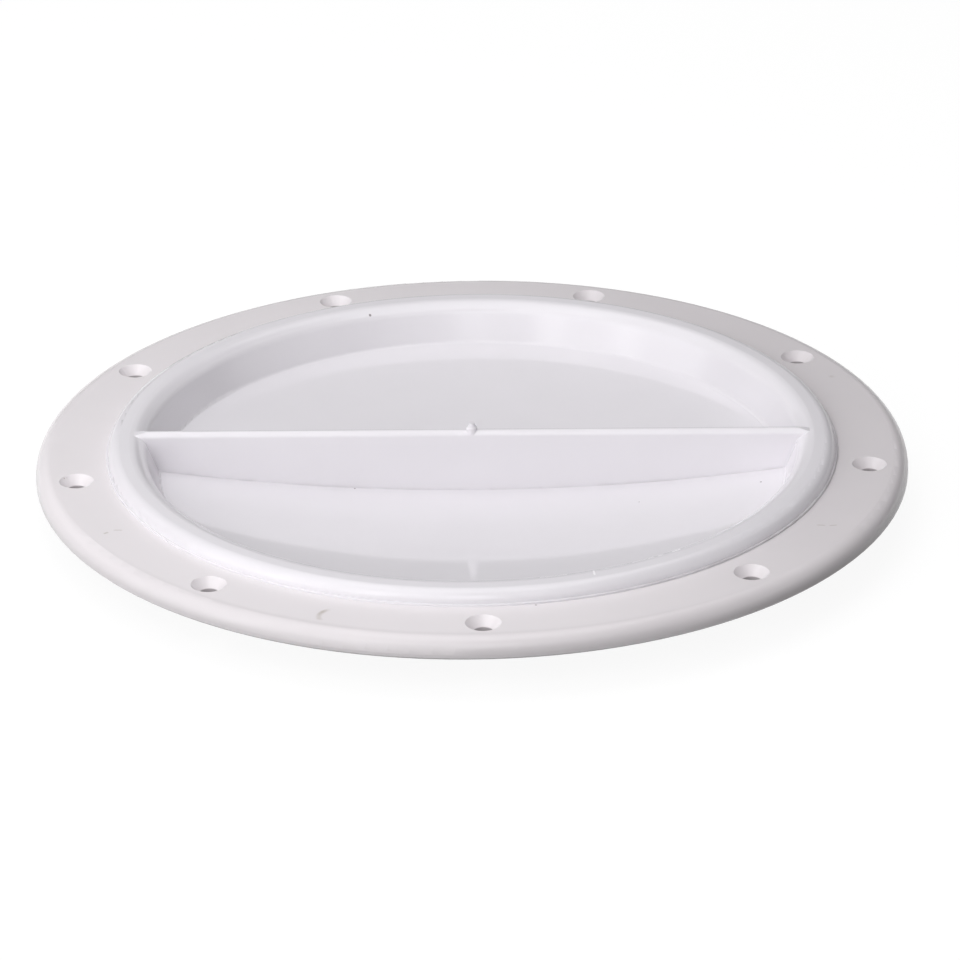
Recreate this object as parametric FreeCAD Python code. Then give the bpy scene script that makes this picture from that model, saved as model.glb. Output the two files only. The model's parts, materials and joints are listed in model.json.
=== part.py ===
import FreeCAD, Part
import math
import os

# Screw-in deck inspection plate of the 6 inch class, in millimetres.
# The origin is the centre of the flange's underside, which is the deck plane. +Z points up, and the
# grip rib lies along X. A deck ring is screwed to the deck round a cut-out, a dished cover screws into
# the ring's collar, and an O-ring under the cover's rim keeps water out.

# Deck ring
collar_radius = 82.0
collar_wall = 2.1
collar_foot_chamfer = 0.5
flange_overhang = 19.5
flange_thickness = 4.6
flange_edge_round = 3.4
flange_under_chamfer = 0.5
flange_root_bevel = 0.8
seat_depth = 2.6
seat_lead_in = 0.3
seat_edge_chamfer = 0.2

# Countersunk holes for the deck screws
screw_count = 9
screw_edge_distance = 8.82
screw_first_angle = -8.0
screw_bore_radius = 2.1
screw_head_radius = 3.97
screw_head_angle = 82.0

# Thread between ring and cover, one start and right-handed
thread_pitch = 4.0
thread_height = 1.2
thread_flank_angle = 30.0
thread_radial_clearance = 0.4
thread_flank_clearance = 0.43
thread_end_margin = 0.3

# O-ring, drawn squeezed between the ring's seat and the cover's rim
seal_cord = 3.4
seal_squeeze = 0.3
seal_side_clearance = 0.25

# Cover rim, whose foot bears on the flange when the cover is screwed home
pilot_clearance = 0.7
pilot_height = 0.8
rim_thickness = 2.65
rim_skirt_wall = 2.05
rim_edge_height = 0.5
rim_ledge_width = 0.45
rim_edge_chamfer = 0.12
rim_flat_width = 3.6
rim_crown_bulge = 0.74
lip_inset = 0.8
lip_bevel_width = 2.4
lip_bevel_drop = 1.75
lip_round = 4.0
lip_corner_round = 2.5

# Cover dish and threaded skirt
dish_depth = 14.25
dish_foot_depth = 9.05
dish_wall_angle = 22.0
dish_foot_fillet = 1.0
dish_floor_thickness = 2.2
dish_wall_thickness = 2.25
skirt_wall = 2.0
skirt_chamfer = 0.4
skirt_lift = 0.3
relief_depth = 3.2
collar_stand = 0.8

# Grip rib and the moulding stub on its crown
rib_thickness = 2.8
rib_draft_angle = 1.5
rib_crown_rise = 0.4
rib_end_drop = 0.3
rib_end_angle = 11.5
rib_root = 1.0
stub_foot_radius = 1.4
stub_shoulder_radius = 1.25
stub_shoulder_height = 0.6
stub_tip_radius = 0.75
stub_tip_taper = 0.1
stub_height = 1.75

# How far a ridge or a rib reaches into the wall that carries it
ridge_root = 0.3
cut_over = 1.0

# Levels that follow from the sizes above
seat_level = flange_thickness - seat_depth
roof_level = seat_level + seal_cord - seal_squeeze
rim_level = roof_level + rim_thickness
rim_foot_level = flange_thickness
rim_edge_level = rim_foot_level + rim_edge_height
lip_corner_level = rim_level - lip_bevel_drop
rib_crown_level = rim_level + rib_crown_rise
dish_level = rim_level - dish_depth
dish_foot_level = rim_level - dish_foot_depth
collar_foot_level = dish_level - dish_floor_thickness - collar_stand
skirt_foot_level = collar_foot_level + skirt_lift
pilot_level = seat_level - pilot_height

# Radii that follow from the sizes above
flange_radius = collar_radius + flange_overhang
screw_circle_radius = flange_radius - screw_edge_distance
bore_radius = collar_radius - collar_wall
skirt_radius = bore_radius - thread_radial_clearance - thread_height
pilot_radius = bore_radius - pilot_clearance
seal_radius = pilot_radius + seal_side_clearance + seal_cord / 2
channel_radius = seal_radius + seal_cord / 2 + seal_side_clearance
rim_radius = channel_radius + rim_skirt_wall
ledge_radius = rim_radius - rim_ledge_width
seat_radius = channel_radius + seal_side_clearance
lip_radius = pilot_radius - lip_inset
lip_corner_radius = lip_radius - lip_bevel_width
crown_radius = lip_radius + rim_flat_width
dish_wall_slope = math.tan(math.radians(dish_wall_angle))
dish_foot_radius = lip_corner_radius - (lip_corner_level - dish_foot_level) * dish_wall_slope
skirt_inner_radius = skirt_radius - skirt_wall
relief_radius = dish_foot_radius + dish_wall_thickness

# The dish floor is part of a sphere through its centre and its foot
dish_rise = dish_foot_level - dish_level
dish_sphere_radius = (dish_foot_radius ** 2 + dish_rise ** 2) / (2 * dish_rise)
dish_sphere_level = dish_level + dish_sphere_radius


def vector(point):
    """A point of a section drawing, (radius, level), in space."""
    return FreeCAD.Vector(point[0], 0, point[1])


def sphere_level(radius, sphere_radius):
    """Level of the dish's sphere, or of one with the same centre, at a radius from the axis."""
    return dish_sphere_level - math.sqrt(sphere_radius ** 2 - radius ** 2)


def rounded(before, corner, after, radius):
    """Steps of a section that round the corner between two straight lines."""
    back = (before[0] - corner[0], before[1] - corner[1])
    ahead = (after[0] - corner[0], after[1] - corner[1])
    back_length = math.hypot(*back)
    ahead_length = math.hypot(*ahead)
    back = (back[0] / back_length, back[1] / back_length)
    ahead = (ahead[0] / ahead_length, ahead[1] / ahead_length)
    half_angle = math.acos(back[0] * ahead[0] + back[1] * ahead[1]) / 2
    reach = radius / math.tan(half_angle)
    inward = (back[0] + ahead[0], back[1] + ahead[1])
    inward_length = math.hypot(*inward)
    offset = radius / math.sin(half_angle) - radius
    start = (corner[0] + back[0] * reach, corner[1] + back[1] * reach)
    end = (corner[0] + ahead[0] * reach, corner[1] + ahead[1] * reach)
    shift = offset / inward_length
    middle = (corner[0] + inward[0] * shift, corner[1] + inward[1] * shift)
    return [start, (middle, end)]


def revolved(steps):
    """Solid of revolution of a closed section. A step is a point to draw a line to, or an arc's
    (middle, end)."""
    edges = []
    here = steps[0]
    for step in steps[1:] + [steps[0]]:
        if isinstance(step[0], tuple):
            edges.append(Part.Arc(vector(here), vector(step[0]), vector(step[1])).toShape())
            here = step[1]
        elif math.dist(here, step) > 1e-6:
            edges.append(Part.LineSegment(vector(here), vector(step)).toShape())
            here = step
    face = Part.Face(Part.Wire(edges))
    return face.revolve(FreeCAD.Vector(0, 0, 0), FreeCAD.Vector(0, 0, 1), 360)


def flank_width(depth_from_mid):
    """Axial width of a ridge at a distance from the thread's middle radius, towards its root."""
    mid_width = thread_pitch / 2 - thread_flank_clearance
    return mid_width + 2 * depth_from_mid * math.tan(math.radians(thread_flank_angle))


def thread_ridge(root_radius, outward, start_level, end_level, start_angle):
    """Helical ridge of trapezoid section that stands on a cylinder, faded out at both ends."""
    half_play = (thread_height + thread_radial_clearance) / 2
    foot = flank_width(half_play + ridge_root)
    crest = flank_width(half_play - thread_height)
    foot_radius = root_radius - outward * ridge_root
    crest_radius = root_radius + outward * thread_height
    corners = [
        FreeCAD.Vector(foot_radius, 0, -foot / 2),
        FreeCAD.Vector(crest_radius, 0, -crest / 2),
        FreeCAD.Vector(crest_radius, 0, crest / 2),
        FreeCAD.Vector(foot_radius, 0, foot / 2),
    ]
    section = Part.makePolygon(corners + corners[:1])
    length = end_level - start_level
    path = Part.Wire(Part.makeHelix(thread_pitch, length, root_radius).Edges)
    ridge = path.makePipeShell([section], True, True)
    sweep = 360 * length / thread_pitch
    for angle, level in ((0, 0), (sweep, length)):
        ridge = ridge.cut(run_out(root_radius, outward, angle, level))
    ridge.rotate(FreeCAD.Vector(0, 0, 0), FreeCAD.Vector(0, 0, 1), start_angle)
    ridge.translate(FreeCAD.Vector(0, 0, start_level))
    return ridge


def run_out(root_radius, outward, angle, level):
    """Cutter that fades a ridge into its cylinder at one end."""
    half_root = ridge_root / 2
    height = thread_pitch
    if outward > 0:
        reach = 2 * (thread_height + ridge_root)
        width = root_radius
        cutter = Part.makeBox(reach, width, height, FreeCAD.Vector(root_radius - half_root, -width / 2, 0))
    else:
        radius = (root_radius + half_root) / 2
        cutter = Part.makeCylinder(radius, height, FreeCAD.Vector(radius, 0, 0))
    cutter.translate(FreeCAD.Vector(0, 0, level - height / 2))
    cutter.rotate(FreeCAD.Vector(0, 0, 0), FreeCAD.Vector(0, 0, 1), angle)
    return cutter


def thread_span(low_wall, high_wall):
    """Lowest and highest level of a ridge's centre line between the ends of its wall."""
    half_foot = flank_width((thread_height + thread_radial_clearance) / 2) / 2
    return low_wall + thread_end_margin + half_foot, high_wall - thread_end_margin - half_foot


ring_wall = (collar_foot_level + collar_foot_chamfer, seat_level - seat_lead_in)
skirt_wall_span = (skirt_foot_level + skirt_chamfer, pilot_level)
ring_thread_start, ring_thread_end = thread_span(*ring_wall)
cover_thread_start, cover_thread_end = thread_span(*skirt_wall_span)


def screw_hole(angle):
    """Cutter for one countersunk screw hole."""
    half_angle = math.radians(screw_head_angle / 2)
    depth = (screw_head_radius - screw_bore_radius) / math.tan(half_angle)
    top_radius = screw_head_radius + cut_over * math.tan(half_angle)
    bore = Part.makeCylinder(
        screw_bore_radius, flange_thickness + 2 * cut_over, FreeCAD.Vector(screw_circle_radius, 0, -cut_over)
    )
    sink = Part.makeCone(
        screw_bore_radius,
        top_radius,
        depth + cut_over,
        FreeCAD.Vector(screw_circle_radius, 0, flange_thickness - depth),
    )
    cutter = bore.fuse(sink)
    cutter.rotate(FreeCAD.Vector(0, 0, 0), FreeCAD.Vector(0, 0, 1), angle)
    return cutter


def deck_ring():
    """Flange with its seal seat, collar, inner thread and screw holes."""
    flange_under = (flange_radius, 0)
    flange_edge = (flange_radius, flange_thickness)
    seat_edge = (seat_radius, flange_thickness)
    body = revolved(
        [
            (bore_radius, collar_foot_level + collar_foot_chamfer),
            (bore_radius, seat_level - seat_lead_in),
            (bore_radius + seat_lead_in, seat_level),
            (seat_radius, seat_level),
            (seat_radius, flange_thickness - seat_edge_chamfer),
            (seat_radius + seat_edge_chamfer, flange_thickness),
            *rounded(seat_edge, flange_edge, flange_under, flange_edge_round),
            (flange_radius, flange_under_chamfer),
            (flange_radius - flange_under_chamfer, 0),
            (collar_radius + flange_root_bevel, 0),
            (collar_radius, -flange_root_bevel),
            (collar_radius, collar_foot_level + collar_foot_chamfer),
            (collar_radius - collar_foot_chamfer, collar_foot_level),
            (bore_radius + collar_foot_chamfer, collar_foot_level),
        ]
    )
    body = body.fuse(thread_ridge(bore_radius, -1, ring_thread_start, ring_thread_end, 0))
    holes = [screw_hole(screw_first_angle + 360 * turn / screw_count) for turn in range(screw_count)]
    return body.cut(Part.makeCompound(holes))


def dish_foot():
    """Arc that rounds the foot of the dish's wall, as (start, middle, end)."""
    angle = math.radians(dish_wall_angle)
    wall_outward = (math.cos(angle), -math.sin(angle))
    track = (
        lip_corner_radius - dish_foot_fillet * wall_outward[0],
        lip_corner_level - dish_foot_fillet * wall_outward[1] - dish_sphere_level,
    )
    down_wall = (-math.sin(angle), -math.cos(angle))
    inner_radius = dish_sphere_radius - dish_foot_fillet
    along = track[0] * down_wall[0] + track[1] * down_wall[1]
    beyond = track[0] ** 2 + track[1] ** 2 - inner_radius ** 2
    travel = -along + math.sqrt(along ** 2 - beyond)
    centre = (track[0] + travel * down_wall[0], track[1] + travel * down_wall[1])
    floor_outward = (centre[0] / inner_radius, centre[1] / inner_radius)
    middle = (wall_outward[0] + floor_outward[0], wall_outward[1] + floor_outward[1])
    middle_length = math.hypot(*middle)
    centre = (centre[0], centre[1] + dish_sphere_level)
    directions = [floor_outward, (middle[0] / middle_length, middle[1] / middle_length), wall_outward]
    return [
        (centre[0] + dish_foot_fillet * way[0], centre[1] + dish_foot_fillet * way[1]) for way in directions
    ]


def crown_middle():
    """Middle of the arc on which the rim falls from its flat to the ledge at its edge."""
    run = ledge_radius - crown_radius
    fall = rim_level - rim_edge_level
    chord = math.hypot(run, fall)
    return (
        crown_radius + run / 2 + rim_crown_bulge * fall / chord,
        rim_level - fall / 2 + rim_crown_bulge * run / chord,
    )


def cover_body():
    """Dish, rim and skirt of the cover in one section."""
    foot_start, foot_middle, foot_end = dish_foot()
    floor_half = foot_start[0] / 2
    under_sphere = dish_sphere_radius + dish_floor_thickness
    lip = (lip_radius, rim_level)
    lip_corner = (lip_corner_radius, lip_corner_level)
    crown = (crown_radius, rim_level)
    relief_level = sphere_level(relief_radius, under_sphere) + relief_depth
    under_middle = (relief_radius / 2, sphere_level(relief_radius / 2, under_sphere))
    return revolved(
        [
            (0, dish_level),
            ((floor_half, sphere_level(floor_half, dish_sphere_radius)), foot_start),
            (foot_middle, foot_end),
            *rounded(foot_end, lip_corner, lip, lip_corner_round),
            *rounded(lip_corner, lip, crown, lip_round),
            crown,
            (crown_middle(), (ledge_radius, rim_edge_level)),
            (rim_radius - rim_edge_chamfer, rim_edge_level),
            (rim_radius, rim_edge_level - rim_edge_chamfer),
            (rim_radius, rim_foot_level),
            (channel_radius, rim_foot_level),
            (channel_radius, roof_level),
            (pilot_radius, roof_level),
            (pilot_radius, pilot_level + pilot_radius - skirt_radius),
            (skirt_radius, pilot_level),
            (skirt_radius, skirt_foot_level + skirt_chamfer),
            (skirt_radius - skirt_chamfer, skirt_foot_level),
            (skirt_inner_radius, skirt_foot_level),
            (skirt_inner_radius, relief_level),
            (relief_radius, relief_level),
            (relief_radius, sphere_level(relief_radius, under_sphere)),
            (under_middle, (0, dish_level - dish_floor_thickness)),
        ]
    )


def rib_space():
    """The dish's hollow, grown into its wall and floor by the depth at which the rib takes root, with a
    sloped top on which the ends of the rib's crown sink into the rim."""
    sphere = dish_sphere_radius + rib_root
    slant = rib_root / math.cos(math.radians(dish_wall_angle))
    end_radius = lip_radius + slant
    end_level = rim_level - rib_end_drop
    top_level = rib_crown_level + cut_over
    slope_run = (top_level - end_level) / math.tan(math.radians(rib_end_angle))
    foot_radius = dish_foot_radius + slant
    foot = (foot_radius, sphere_level(foot_radius, sphere))
    floor_middle = (foot_radius / 2, sphere_level(foot_radius / 2, sphere))
    return revolved(
        [
            (0, dish_level - rib_root),
            (floor_middle, foot),
            (lip_corner_radius + slant, lip_corner_level),
            (end_radius, end_level),
            (end_radius - slope_run, top_level),
            (0, top_level),
        ]
    )


def grip_rib():
    """Drafted rib with a round crown, from wall to wall of the dish."""
    half = rib_thickness / 2
    root_level = dish_level - dish_floor_thickness
    shoulder_level = rib_crown_level - half
    root_half = half + (shoulder_level - root_level) * math.tan(math.radians(rib_draft_angle))
    reach = lip_radius + rib_root
    left_root = FreeCAD.Vector(-reach, -root_half, root_level)
    left_shoulder = FreeCAD.Vector(-reach, -half, shoulder_level)
    crown = FreeCAD.Vector(-reach, 0, rib_crown_level)
    right_shoulder = FreeCAD.Vector(-reach, half, shoulder_level)
    right_root = FreeCAD.Vector(-reach, root_half, root_level)
    edges = [
        Part.LineSegment(left_root, left_shoulder).toShape(),
        Part.Arc(left_shoulder, crown, right_shoulder).toShape(),
        Part.LineSegment(right_shoulder, right_root).toShape(),
        Part.LineSegment(right_root, left_root).toShape(),
    ]
    bar = Part.Face(Part.Wire(edges)).extrude(FreeCAD.Vector(2 * reach, 0, 0))
    return bar.common(rib_space())


def moulding_stub():
    """Short stub with a broken tip, left on the middle of the rib's crown where the plastic was fed in."""
    foot_level = rib_crown_level - rib_thickness / 2
    shoulder_level = rib_crown_level + stub_shoulder_height
    return revolved(
        [
            (0, foot_level),
            (stub_foot_radius, foot_level),
            (stub_shoulder_radius, shoulder_level),
            (stub_tip_radius, shoulder_level + stub_shoulder_radius - stub_tip_radius),
            (stub_tip_radius - stub_tip_taper, rib_crown_level + stub_height),
            (0, rib_crown_level + stub_height),
        ]
    )


def cover():
    """Dished cover with its grip rib and outer thread. Its ridge starts where it meshes with the ring's."""
    mesh_level = cover_thread_start - ring_thread_start - thread_pitch / 2
    start_angle = 360 * mesh_level / thread_pitch
    ridge = thread_ridge(skirt_radius, 1, cover_thread_start, cover_thread_end, start_angle)
    body = cover_body().fuse(ridge)
    return body.fuse(grip_rib()).fuse(moulding_stub())


def o_ring():
    """O-ring with the flats that the seat and the rim press on it."""
    half_height = (seal_cord - seal_squeeze) / 2
    half_flat = math.sqrt((seal_cord / 2) ** 2 - half_height ** 2)
    middle_level = seat_level + half_height
    inner_side = (seal_radius - seal_cord / 2, middle_level)
    outer_side = (seal_radius + seal_cord / 2, middle_level)
    return revolved(
        [
            (seal_radius - half_flat, seat_level),
            (seal_radius + half_flat, seat_level),
            (outer_side, (seal_radius + half_flat, roof_level)),
            (seal_radius - half_flat, roof_level),
            (inner_side, (seal_radius - half_flat, seat_level)),
        ]
    )


def one_solid(shape):
    """The single solid of a finished piece."""
    solids = shape.removeSplitter().Solids
    if len(solids) != 1:
        raise ValueError("a piece is in %d solids" % len(solids))
    return solids[0]


def main():
    os.makedirs("parts", exist_ok=True)
    pieces = {"deck_ring": deck_ring(), "cover": cover(), "o_ring": o_ring()}
    for name, shape in pieces.items():
        solid = one_solid(shape)
        solid.exportStep("parts/%s.step" % name)
        print("%s: volume %.0f mm3, valid %s" % (name, solid.Volume, solid.isValid()))


main()
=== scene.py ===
import json
import math

import bpy
from mathutils import Matrix, Vector


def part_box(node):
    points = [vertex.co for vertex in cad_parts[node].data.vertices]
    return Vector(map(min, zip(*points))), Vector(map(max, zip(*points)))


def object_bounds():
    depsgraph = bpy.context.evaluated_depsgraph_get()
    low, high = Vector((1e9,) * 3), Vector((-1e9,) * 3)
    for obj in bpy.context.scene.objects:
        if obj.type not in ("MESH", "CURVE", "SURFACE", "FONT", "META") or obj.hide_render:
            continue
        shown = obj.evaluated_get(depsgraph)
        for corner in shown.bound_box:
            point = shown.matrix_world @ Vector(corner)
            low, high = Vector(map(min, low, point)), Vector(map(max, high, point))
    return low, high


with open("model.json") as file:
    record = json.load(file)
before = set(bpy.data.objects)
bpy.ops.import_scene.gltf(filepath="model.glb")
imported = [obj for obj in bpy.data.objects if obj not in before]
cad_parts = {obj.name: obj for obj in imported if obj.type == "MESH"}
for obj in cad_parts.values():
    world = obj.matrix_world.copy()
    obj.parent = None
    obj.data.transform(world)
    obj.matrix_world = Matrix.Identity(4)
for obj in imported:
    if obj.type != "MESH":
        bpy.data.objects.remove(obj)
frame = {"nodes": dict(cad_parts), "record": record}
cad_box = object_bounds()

# Screw-in deck inspection plate, in metres. The moulded pieces come whole from the frame, and this script
# gives them their plastics and rubber, with the scuffs, stains and specks of a plate that has been
# handled, and with shade painted into their colour at corners, in the bores and over parts of the flange
# and its edge.
# A name that ends in fade holds two limits: its mark or finish is absent at the first, full at the second.

# Sizes of the plate that the finishes follow
plate_foot = cad_box[0].z
flange_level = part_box("deck_ring")[1].z
flange_top_fade = (flange_level - 0.0006, flange_level - 0.0002)
rim_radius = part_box("cover")[1].x
rim_level = 0.00775
rim_top_fade = (rim_level - 0.0015, rim_level - 0.0008)
dish_foot_radius = 0.07305
dish_foot_level = -0.0013
dish_level = -0.0065
dish_curve = (dish_foot_level - dish_level) / dish_foot_radius ** 2
rib_half_thickness = 0.0014
rib_shoulder_level = 0.00675
rib_draft = math.tan(math.radians(1.5))

# Screw holes, each a bore under a countersink
screw_mount = [mount for mount in frame["record"]["mounts"] if mount["name"] == "deck_screws"][0]
screw_count = screw_mount["dims"]["count"]
screw_circle_radius = screw_mount["dims"]["pcd_mm"] / 2000
screw_bore_radius = screw_mount["dims"]["hole_r_mm"] / 1000
screw_first_angle = math.radians(-8.0)
countersink_depth = 0.00215
screw_bore_top = flange_level - countersink_depth
bore_wall_fade = (screw_bore_radius * 1.06, screw_bore_radius * 1.01)
bore_top_fade = (screw_bore_top + 0.0003, screw_bore_top - 0.0002)

# Both mouldings, with flow marks, the haze that handling leaves, and orange peel
plastic_ior = 1.49
flow_size = 0.05
flow_stretch = (1.0, 1.6, 1.0)
flow_fade = (0.3, 0.7)
flow_share = 0.6
haze_size = 0.018
haze_fade = (0.35, 0.65)
haze_share = 0.4
peel_size = 0.0016
dull_factor = 0.985
clear_factor = 1.01
right_lean = 0.3

# Plastic of the deck ring. The fall is the flange's slope outwards, as its shading shows it.
ring_colour = (0.818, 0.780, 0.804)
ring_roughness = 0.25
ring_grain = 0.0000022
ring_fall = 0.02

# Plastic of the cover, glossier in its dish than on its rim
cover_colour = (0.803, 0.780, 0.818)
cover_roughness = 0.15
cover_grain = 0.0000012
dish_roughness = 0.055
dish_gloss_fade = (dish_foot_radius + 0.0005, dish_foot_radius - 0.0015)

# Brown stains on the flange, seen from above: a crescent, dashes, a spot, and specks by one screw hole
stain_colour = (0.40, 0.35, 0.30)
flange_patch_size = 0.004
flange_patch_fade = (0.35, 0.65)
crescent_centre = (-0.0289, -0.0892)
crescent_radius = 0.0034
crescent_width_fade = (0.0009, 0.0001)
crescent_right_fade = (crescent_centre[0] - 0.0005, crescent_centre[0] - 0.0032)
crescent_front_fade = (crescent_centre[1] - 0.0021, crescent_centre[1] - 0.0009)
crescent_stain = 0.3
crescent_patches = 0.4
flange_dashes = (
    ((-0.08225, -0.04737), (-0.08106, -0.04645), 0.00045),
    ((-0.08027, -0.04544), (-0.07787, -0.04551), 0.0003),
    ((0.07753, -0.04520), (0.07984, -0.04547), 0.0003),
    ((0.08034, -0.04556), (0.08244, -0.04534), 0.0003),
)
dash_stain = 0.4
flange_spot = (0.08617, 0.03721)
flange_spot_size = 0.0011
flange_spot_edge = 0.9
flange_spot_stain = 0.2
hole_specks = ((-0.09365, -0.01715), (-0.09306, -0.01672), (-0.09239, -0.01652), (-0.09137, -0.01599))
hole_speck_size = 0.00022
hole_speck_edge = 0.6
hole_speck_stain = 0.8

# Painted shade on the deck ring: at the rim's foot on the right, in the screw bores, low on the edge at
# the right, on the front of the edge and over the right side, and one dark speck of dirt at the rim's
# foot.
# The dark colour serves both the painted shade and the specks.
shade_and_grime_colour = (0.20, 0.17, 0.18)
rim_foot_fade = (rim_radius + 0.0005, rim_radius)
rim_foot_painted_shade = 0.25
foot_speck = (0.01459, -0.08434)
foot_speck_size = 0.0003
foot_speck_grime = 0.8
bore_painted_shade = 0.45
flange_right_fade = (-0.03, 0.09)
flange_right_painted_shade = 0.1
flange_edge_fade = (0.0965, 0.0985)
right_edge_fade = (0.02, 0.09)
low_edge_fade = (0.0042, 0.001)
low_edge_painted_shade = 0.5
front_edge_fade = (-0.04, -0.09)
front_edge_painted_shade = 0.13

# Painted shade on the cover, at the foot of the rib and on the rim's edge at the right, in the same dark
# colour as the dark specks of dirt in the dish
cover_patch_size = 0.007
cover_patch_fade = (0.38, 0.62)
rib_foot_fade = (0.0007, 0.0001)
rib_foot_end_fade = (dish_foot_radius, dish_foot_radius - 0.001)
rib_foot_painted_shade = 0.03
rib_foot_shade_patches = 0.08
rim_edge_fade = (rim_radius - 0.0007, rim_radius - 0.0003)
rim_edge_level_fade = (0.0054, 0.0051)
rim_edge_right_fade = (-0.02, 0.04)
rim_edge_painted_shade = 0.15
rim_edge_shade_patches = 0.15
floor_specks = ((0.06710, -0.00812, 0.00033), (0.03875, -0.01255, 0.0002), (-0.02747, -0.00232, 0.0003))
floor_speck_fade = (0.001, 0.0005)
floor_speck_grime = 0.8
wall_speck = (-0.02575, 0.07230)
wall_speck_size = 0.0004
wall_speck_grime = 0.85

# Light scuffs on the cover's lip, seen from above
scuff_colour = (0.93, 0.92, 0.94)
lip_scuffs = (
    ((0.01490, -0.07693), (0.02208, -0.07525), 0.00035),
    ((0.02716, -0.07349), (0.02750, -0.07668), 0.0003),
    ((0.03462, -0.07030), (0.04357, -0.06530), 0.0003),
    ((0.04357, -0.06530), (0.04694, -0.06286), 0.0004),
)
scuff_patch_size = 0.0015
scuff_patch_fade = (0.35, 0.55)
scuff_share = 0.8
scuff_roughness = 0.4

# Rubber of the O-ring
seal_low, seal_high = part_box("o_ring")
seal_colour = (0.018, 0.018, 0.019)
seal_dust_colour = (0.05, 0.048, 0.047)
seal_dust_size = 0.006
seal_dust_fade = (0.45, 0.7)
seal_dust_share = 0.35
seal_grain_size = 0.0004
seal_grain_height = 0.00001
seal_grain_roughness = 0.18
seal_roughness = 0.48
mould_line_level = (seal_low.z + seal_high.z) / 2
mould_line_fade = (0.00018, 0.00005)
mould_line_height = 0.00004

# How a stroke and a spot fade, as shares of their length, width and size
stroke_end_share = 0.25
stroke_core_share = 0.3
spot_edge_share = 0.5

# Numbers of the colour sockets on a Mix node, which share their names with others
mix_share = 0
mix_first = 6
mix_second = 7
mix_result = 2

# Floor, which shows as a glow to the camera and in gloss, and sends little light back to the plate
floor_width = 8
floor_gap = 0.0001
floor_grey = 0.35
floor_glow = 1.35
floor_glow_share = 0.68
floor_bounce = 0.1

# Camera, turned a little about the plate's axis, because the plate lies so in the photograph
camera_turn = math.radians(0.67)
camera_distance = 1.07224
camera_height_angle = math.radians(25.055)
camera_roll = math.radians(-0.677)
camera_lens = 172.36
camera_sensor = 36
camera_reach = 100
camera_aim_right = 0.001907
camera_aim_up = -0.008551

# Lamps, as side angle from the front towards the right, height angle, and watts to the square metre
near_lamp_distance = 0.8
near_lamp_size = (0.56, 0.46)
near_lamps = (
    (195, 14, 0.42),
    (225, 14, 0.95),
    (285, 14, 4.40),
    (315, 14, 4.56),
    (195, 38, 0.57),
    (285, 38, 1.93),
    (315, 38, 3.59),
    (345, 38, 1.52),
    (0, 62, 0.72),
    (180, 62, 3.74),
    (240, 62, 1.51),
    (300, 62, 2.26),
    (0, 88, 5.27),
)
far_lamp_distance = 1.6
far_lamp_size = (1.12, 0.92)
far_lamps = (
    (75, 14, 2.00),
    (345, 14, 0.75),
    (15, 38, 3.29),
    (45, 38, 0.54),
    (345, 38, 3.90),
)

# Even white surround
surround_strength = 0.02


class Value:
    """A number, place or colour that varies over a surface. Sums on a number add Math nodes."""

    def __init__(self, paint, socket):
        self.paint = paint
        self.socket = socket

    def __add__(self, other):
        return self.paint.maths("ADD", self, other)

    def __radd__(self, other):
        return self.paint.maths("ADD", other, self)

    def __sub__(self, other):
        return self.paint.maths("SUBTRACT", self, other)

    def __rsub__(self, other):
        return self.paint.maths("SUBTRACT", other, self)

    def __mul__(self, other):
        return self.paint.maths("MULTIPLY", self, other)

    def __rmul__(self, other):
        return self.paint.maths("MULTIPLY", other, self)

    def __abs__(self):
        return self.paint.maths("ABSOLUTE", self)

    def root(self):
        return self.paint.maths("SQRT", self)

    def largest(self, other):
        return self.paint.maths("MAXIMUM", self, other)

    def rises(self, start, end):
        """0 below start, 1 above end and smooth between. With end below start it falls instead."""
        settings = {"interpolation_type": "SMOOTHSTEP"}
        limits = {"Value": self, "From Min": start, "From Max": end}
        return self.paint.add("ShaderNodeMapRange", settings, limits)


def long_side(across, along):
    """Length of the long side of a right triangle from its two short sides."""
    return (across * across + along * along).root()


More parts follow.
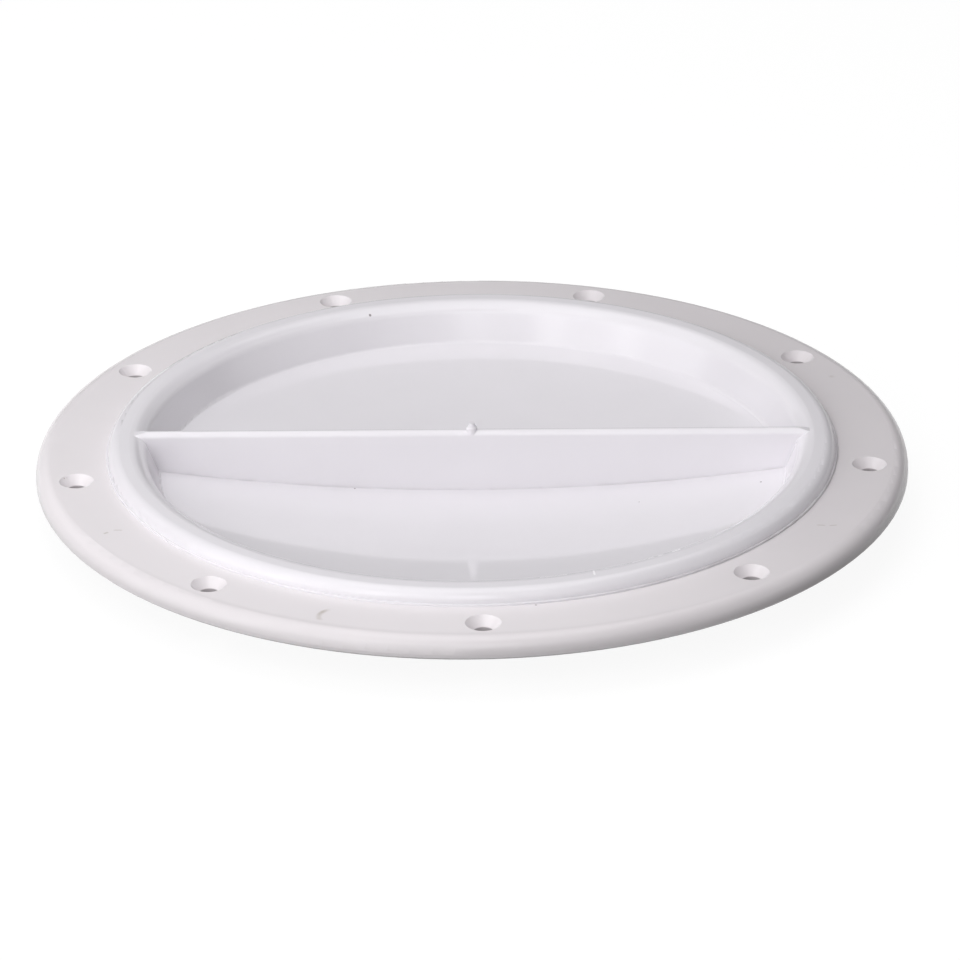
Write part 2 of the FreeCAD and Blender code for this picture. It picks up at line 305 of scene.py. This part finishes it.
class Paint:
    """The nodes of one material, with the place of a surface point as x, y, z and its radius."""

    def __init__(self, name):
        self.material = bpy.data.materials.new(name)
        self.material.use_nodes = True
        self.tree = self.material.node_tree
        self.shader = self.tree.nodes["Principled BSDF"]
        self.place = self.add("ShaderNodeTexCoord", output="Object")
        split = self.add("ShaderNodeSeparateXYZ", inputs=(self.place,)).socket.node
        self.x, self.y, self.z = (Value(self, socket) for socket in split.outputs)
        self.radius = long_side(self.x, self.y)

    def add(self, kind, settings=None, inputs=(), output=0):
        """Adds a node: its settings first, then what goes into its sockets, by name or in order."""
        node = self.tree.nodes.new(kind)
        for name, value in (settings or {}).items():
            setattr(node, name, value)
        fed = inputs.items() if isinstance(inputs, dict) else enumerate(inputs)
        for name, value in fed:
            self.feed(node.inputs[name], value)
        return Value(self, node.outputs[output])

    def feed(self, socket, value):
        """Links a Value to a socket, or sets the socket to a plain number or colour."""
        if isinstance(value, Value):
            self.tree.links.new(value.socket, socket)
        elif isinstance(value, tuple) and len(value) == 3 and socket.type == "RGBA":
            socket.default_value = (*value, 1.0)
        else:
            socket.default_value = value

    def give(self, name, value):
        """Feeds a socket of the material's shader."""
        self.feed(self.shader.inputs[name], value)

    def relief(self, height):
        """Shades the surface as if it stood up by a height in metres."""
        bump = self.add("ShaderNodeBump", inputs={"Strength": 1.0, "Distance": 1.0, "Height": height})
        self.give("Normal", bump)

    def maths(self, operation, *numbers):
        return self.add("ShaderNodeMath", {"operation": operation}, numbers)

    def noise(self, size, detail, stretch=None):
        """Noise from 0 to 1 whose lumps are about size across. Stretch scales the place first."""
        place = self.place
        if stretch:
            place = self.add("ShaderNodeMapping", inputs={"Vector": place, "Scale": stretch})
        inputs = {"Vector": place, "Scale": 1 / size, "Detail": detail}
        return self.add("ShaderNodeTexNoise", inputs=inputs)

    def mix(self, share, first, second):
        """First colour where share is 0, second where it is 1."""
        colours = {mix_share: share, mix_first: first, mix_second: second}
        return self.add("ShaderNodeMix", {"data_type": "RGBA"}, colours, mix_result)

    def right_side(self, fade):
        """0 at the left and 1 at the right, where right leans a little towards the back."""
        return (self.x + self.y * right_lean).rises(*fade)

    def distance(self, point):
        """Distance from a point, seen from above."""
        return long_side(self.x - point[0], self.y - point[1])

    def spot(self, point, size, edge=spot_edge_share):
        """1 within size of a point and 0 outside, with a soft edge, seen from above."""
        return self.distance(point).rises(size, size * (1 - edge))

    def stroke(self, start, end, width):
        """1 on a straight stroke between two points, seen from above, and 0 off it."""
        run = Vector(end) - Vector(start)
        length = run.length
        way = run / length
        across = self.x - start[0]
        along = self.y - start[1]
        on = across * way.x + along * way.y
        off = abs(along * way.x - across * way.y)
        taper = length * stroke_end_share
        ends = on.rises(0, taper) * on.rises(length, length - taper)
        return off.rises(width, width * stroke_core_share) * ends


def inside_bores(paint):
    """1 inside the bores under the countersinks and 0 elsewhere."""
    step = 2 * math.pi / screw_count
    angle = paint.maths("ARCTAN2", paint.y, paint.x)
    turned = paint.maths("WRAP", angle - screw_first_angle, step / 2, -step / 2)
    along = paint.radius * paint.maths("COSINE", turned) - screw_circle_radius
    across = paint.radius * paint.maths("SINE", turned)
    off_axis = long_side(along, across)
    low = paint.z.rises(*bore_top_fade)
    return off_axis.rises(*bore_wall_fade) * low


def moulded_plastic(name, colour, roughness, grain, fall=0.0):
    """White moulded plastic with faint flow marks, handling haze and a fine orange peel.
    Gives the paint and its tone, still to be marked and fed."""
    paint = Paint(name)
    flow = paint.noise(flow_size, detail=3.0, stretch=flow_stretch)
    haze = paint.noise(haze_size, detail=4.0)
    peel = paint.noise(peel_size, detail=2.0)
    shade = flow.rises(*flow_fade) * flow_share + haze.rises(*haze_fade) * haze_share
    dull = tuple(part * dull_factor for part in colour)
    clear = tuple(part * clear_factor for part in colour)
    tone = paint.mix(shade, dull, clear)
    paint.give("IOR", plastic_ior)
    paint.give("Roughness", roughness)
    height = peel * grain
    if fall:
        height = height - paint.radius * fall
    paint.relief(height)
    return paint, tone


def flange_stains(paint, broken):
    """How strongly the brown stains show, before they are kept to the flange's top."""
    crescent = abs(paint.distance(crescent_centre) - crescent_radius).rises(*crescent_width_fade)
    crescent = crescent * paint.x.rises(*crescent_right_fade)
    crescent = crescent * paint.y.rises(*crescent_front_fade)
    stains = crescent * (crescent_stain + crescent_patches * broken)
    stains = stains + paint.spot(flange_spot, flange_spot_size, flange_spot_edge) * flange_spot_stain
    for start, end, width in flange_dashes:
        stains = stains + paint.stroke(start, end, width) * dash_stain
    for point in hole_specks:
        stains = stains.largest(paint.spot(point, hole_speck_size, hole_speck_edge) * hole_speck_stain)
    return stains


def ring_plastic():
    """Warm white plastic of the deck ring, with stains on the flange, a dark speck, and shade painted at
    the rim's foot, in the bores, over the right side and on the edge.
    """
    paint, tone = moulded_plastic("ring_plastic", ring_colour, ring_roughness, ring_grain, ring_fall)
    on_top = paint.z.rises(*flange_top_fade)
    broken = paint.noise(flange_patch_size, detail=4.0).rises(*flange_patch_fade)
    tone = paint.mix(flange_stains(paint, broken) * on_top, tone, stain_colour)
    right_side = paint.right_side(flange_right_fade)
    # Painted shade at the rim's foot on the right, in patches, and a dark speck of dirt there
    foot_shade_and_speck = paint.radius.rises(*rim_foot_fade) * broken * right_side * rim_foot_painted_shade
    foot_shade_and_speck = foot_shade_and_speck.largest(paint.spot(foot_speck, foot_speck_size) * foot_speck_grime)
    # Painted shade in the screw bores
    shade_and_grime = (foot_shade_and_speck * on_top).largest(inside_bores(paint) * bore_painted_shade)
    tone = paint.mix(shade_and_grime, tone, shade_and_grime_colour)
    # Painted shade low on the flange's edge at the right, and on the front of the edge
    low_edge = paint.x.rises(*right_edge_fade) * paint.z.rises(*low_edge_fade) * low_edge_painted_shade
    front_edge = paint.y.rises(*front_edge_fade) * front_edge_painted_shade
    edge = paint.radius.rises(*flange_edge_fade) * low_edge.largest(front_edge)
    # Painted shade over the right side of the flange, and on its edge
    tone = paint.mix((right_side * flange_right_painted_shade).largest(edge), tone, shade_and_grime_colour)
    paint.give("Base Color", tone)
    return paint.material


def cover_shade_and_grime(paint):
    """How strongly the painted shade at the rib's foot and the rim's edge, and the dark specks, show on
    the cover.
    """
    floor = paint.radius * paint.radius * dish_curve + dish_level
    above_floor = paint.z - floor
    half_rib = (rib_shoulder_level - paint.z) * rib_draft + rib_half_thickness
    off_rib = abs(paint.y) - half_rib
    broken = paint.noise(cover_patch_size, detail=5.0).rises(*cover_patch_fade)
    # Painted shade along the foot of the rib, in patches
    corner = off_rib.rises(*rib_foot_fade) * above_floor.rises(*rib_foot_fade)
    inside = paint.radius.rises(*rib_foot_end_fade)
    shade_and_grime = corner * inside * (rib_foot_painted_shade + rib_foot_shade_patches * broken)
    # Painted shade on the rim's edge at the right, in patches
    edge = paint.radius.rises(*rim_edge_fade) * paint.z.rises(*rim_edge_level_fade)
    right_side = paint.right_side(rim_edge_right_fade)
    shade_and_grime = shade_and_grime.largest(edge * right_side * (rim_edge_painted_shade + rim_edge_shade_patches * broken))
    for x, y, size in floor_specks:
        speck = paint.spot((x, y), size) * above_floor.rises(*floor_speck_fade)
        shade_and_grime = shade_and_grime.largest(speck * floor_speck_grime)
    return shade_and_grime.largest(paint.spot(wall_speck, wall_speck_size) * wall_speck_grime)


def cover_scuffs(paint):
    """How strongly the scuffs show on the cover's lip."""
    scuffs = paint.stroke(*lip_scuffs[0])
    for start, end, width in lip_scuffs[1:]:
        scuffs = scuffs.largest(paint.stroke(start, end, width))
    patches = paint.noise(scuff_patch_size, detail=4.0).rises(*scuff_patch_fade)
    return scuffs * patches * paint.z.rises(*rim_top_fade)


def cover_plastic():
    """Cool white plastic of the cover, with scuffs on its lip, painted shade at the foot of its rib and on
    its rim's edge at the right, and dark specks.
    """
    paint, tone = moulded_plastic("cover_plastic", cover_colour, cover_roughness, cover_grain)
    in_dish = paint.radius.rises(*dish_gloss_fade)
    roughness = in_dish * (dish_roughness - cover_roughness) + cover_roughness
    # Painted shade and dark specks of dirt
    tone = paint.mix(cover_shade_and_grime(paint), tone, shade_and_grime_colour)
    scuffs = cover_scuffs(paint)
    tone = paint.mix(scuffs * scuff_share, tone, scuff_colour)
    paint.give("Base Color", tone)
    paint.give("Roughness", roughness + scuffs * scuff_roughness)
    return paint.material


def seal_rubber():
    """Black rubber of the O-ring, with the fine line of its mould and a trace of dust."""
    paint = Paint("seal_rubber")
    grain = paint.noise(seal_grain_size, detail=3.0)
    dust = paint.noise(seal_dust_size, detail=3.0).rises(*seal_dust_fade)
    paint.give("Base Color", paint.mix(dust * seal_dust_share, seal_colour, seal_dust_colour))
    paint.give("Roughness", seal_roughness + grain * seal_grain_roughness)
    mould_line = abs(paint.z - mould_line_level).rises(*mould_line_fade)
    paint.relief(grain * seal_grain_height + mould_line * mould_line_height)
    return paint.material


def dress(node, material):
    """Gives a piece from the frame its finish."""
    piece = frame["nodes"][node]
    if not piece.material_slots:
        piece.data.materials.append(material)
    for slot in piece.material_slots:
        slot.material = material


def pale_floor():
    """Plain floor that shows white round the plate and keeps its soft shadow."""
    bpy.ops.object.select_all(action="DESELECT")
    bpy.ops.mesh.primitive_plane_add(size=floor_width)
    floor = bpy.context.object
    floor.name = "studio_floor"
    floor.data.transform(Matrix.Translation((0, 0, plate_foot - floor_gap)))
    paint = Paint("studio_floor")
    paint.tree.nodes.remove(paint.shader)
    rays = paint.add("ShaderNodeLightPath").socket.node.outputs
    camera_ray = Value(paint, rays["Is Camera Ray"])
    glossy_ray = Value(paint, rays["Is Glossy Ray"])
    through_ray = Value(paint, rays["Is Transmission Ray"])
    in_view = camera_ray.largest(glossy_ray).largest(through_ray)
    matt = paint.add("ShaderNodeBsdfDiffuse", inputs={"Color": (floor_grey,) * 3})
    white = paint.add("ShaderNodeEmission", inputs={"Color": (1.0, 1.0, 1.0), "Strength": floor_glow})
    pale = paint.add("ShaderNodeMixShader", inputs=(floor_glow_share, matt, white))
    dim = paint.add("ShaderNodeBsdfDiffuse", inputs={"Color": (floor_bounce,) * 3})
    shown = paint.add("ShaderNodeMixShader", inputs=(in_view, dim, pale))
    paint.feed(paint.tree.nodes["Material Output"].inputs["Surface"], shown)
    floor.data.materials.append(paint.material)


def way_from_plate(side_angle, height_angle):
    """Direction from the plate's centre. Side angle 0 is the front and 90 is the right."""
    side = math.radians(side_angle)
    height = math.radians(height_angle)
    level = math.cos(height)
    return Vector((level * math.sin(side), -level * math.cos(side), math.sin(height)))


def soft_lamp(side_angle, height_angle, strength, distance, size):
    """Rectangular studio lamp that looks at the plate's centre. Strength is its power for its area."""
    width, height = size
    name = "lamp_%d_%d" % (side_angle, height_angle)
    lamp = bpy.data.lights.new(name, "AREA")
    lamp.shape = "RECTANGLE"
    lamp.size = width
    lamp.size_y = height
    lamp.energy = strength * width * height
    stand = bpy.data.objects.new(name, lamp)
    bpy.context.scene.collection.objects.link(stand)
    way = way_from_plate(side_angle, height_angle)
    stand.location = way * distance
    stand.rotation_mode = "QUATERNION"
    stand.rotation_quaternion = way.to_track_quat("Z", "Y")


def studio_light():
    """Soft lamps, with most of their light from the left and from above, and a weak even surround."""
    for lamp in near_lamps:
        soft_lamp(*lamp, near_lamp_distance, near_lamp_size)
    for lamp in far_lamps:
        soft_lamp(*lamp, far_lamp_distance, far_lamp_size)
    world = bpy.data.worlds.new("studio")
    bpy.context.scene.world = world
    world.use_nodes = True
    background = world.node_tree.nodes["Background"]
    background.inputs["Color"].default_value = (1.0, 1.0, 1.0, 1.0)
    background.inputs["Strength"].default_value = surround_strength


def photo_camera():
    """Camera at the photograph's viewing angle."""
    side = math.cos(camera_height_angle)
    lift = math.sin(camera_height_angle)
    ahead = Vector((0, side, -lift))
    level_up = Vector((0, lift, side))
    level_right = Vector((1, 0, 0))
    right = math.cos(camera_roll) * level_right + math.sin(camera_roll) * level_up
    up = math.cos(camera_roll) * level_up - math.sin(camera_roll) * level_right
    aim = Vector((0, 0, flange_level)) + camera_aim_right * right + camera_aim_up * up
    place = aim - camera_distance * ahead
    lens = bpy.data.cameras.new("camera")
    lens.lens = camera_lens
    lens.sensor_width = camera_sensor
    lens.clip_end = camera_reach
    camera = bpy.data.objects.new("camera", lens)
    bpy.context.scene.collection.objects.link(camera)
    stance = Matrix.Translation(place) @ Matrix((right, up, -ahead)).transposed().to_4x4()
    camera.matrix_world = Matrix.Rotation(camera_turn, 4, "Z") @ stance
    bpy.context.scene.camera = camera


bpy.context.scene.view_settings.view_transform = "Standard"
dress("deck_ring", ring_plastic())
dress("cover", cover_plastic())
dress("o_ring", seal_rubber())
pale_floor()
studio_light()
photo_camera()
